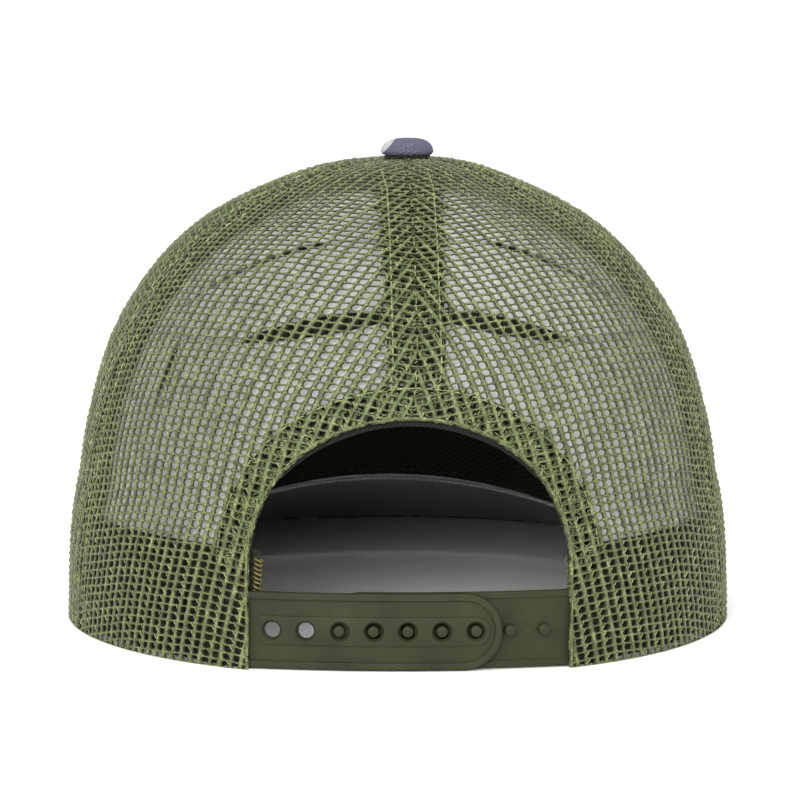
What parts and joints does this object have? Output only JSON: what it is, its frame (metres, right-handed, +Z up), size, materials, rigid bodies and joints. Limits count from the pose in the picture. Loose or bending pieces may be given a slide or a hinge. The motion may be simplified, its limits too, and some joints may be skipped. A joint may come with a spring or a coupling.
{
  "type": "trucker mesh cap",
  "caption": "Baseball-style cap with stiff fabric front panels, see-through mesh sides and back, a curved visor and a plastic snap strap below an arched gap at the back.",
  "frame": {"origin": "middle of the head opening, on the table that the cap rests on", "axes": "+Z up out of the crown, -Y towards the visor, +X towards the wearer's left"},
  "size_m": [0.177, 0.2536, 0.1273],
  "materials": {
    "mesh": "open warp-knit polyester mesh, slightly glossy yarn",
    "front_fabric": "cotton twill with a light grey and slate blotch print",
    "lining": "stiff light grey buckram",
    "shaper_sheet": "thin light grey plastic sheet, slight gloss",
    "seam_tape": "dark woven tape",
    "sweatband_fabric": "dark olive cotton twill",
    "padding": "soft non-woven",
    "metal": "plain steel",
    "visor_board": "moulded polyethylene board",
    "under_fabric": "olive cotton twill",
    "strap_plastic": "moulded flexible olive plastic, satin"
  },
  "bodies": {
    "crown": {"front_panel_left": "front_fabric", "front_panel_right": "front_fabric", "side_mesh_left": "mesh", "side_mesh_right": "mesh", "rear_mesh_left": "mesh", "rear_mesh_right": "mesh", "front_lining_left": "lining", "front_lining_right": "lining", "shaper_left": "shaper_sheet", "shaper_right": "shaper_sheet", "front_seam_tape": "seam_tape", "front_side_tape_left": "seam_tape", "front_side_tape_right": "seam_tape", "side_seam_tape_left": "seam_tape", "side_seam_tape_right": "seam_tape", "rear_seam_tape": "seam_tape", "arch_tape": "seam_tape", "sweatband": "sweatband_fabric", "sweatband_padding": "padding", "button_cap": "front_fabric", "button_rivet": "metal", "visor_board": "visor_board", "visor_top_cover": "front_fabric", "visor_under_cover": "under_fabric", "hole_strap_root": "strap_plastic", "peg_strap_root": "strap_plastic"},
    "hole_strap": {"hole_strap": "strap_plastic"},
    "peg_strap": {"peg_strap": "strap_plastic"}
  },
  "joints": [
    {"name": "hole_strap_swing", "type": "hinge", "parent": "crown", "child": "hole_strap", "pos_m": [0.0396, 0.0835, 0.01], "axis": [0, 0, -1], "range_deg": [0, 85]},
    {"name": "peg_strap_swing", "type": "hinge", "parent": "crown", "child": "peg_strap", "pos_m": [-0.0396, 0.0821, 0.01], "axis": [0, 0, -1], "range_deg": [0, 60]}
  ]
}
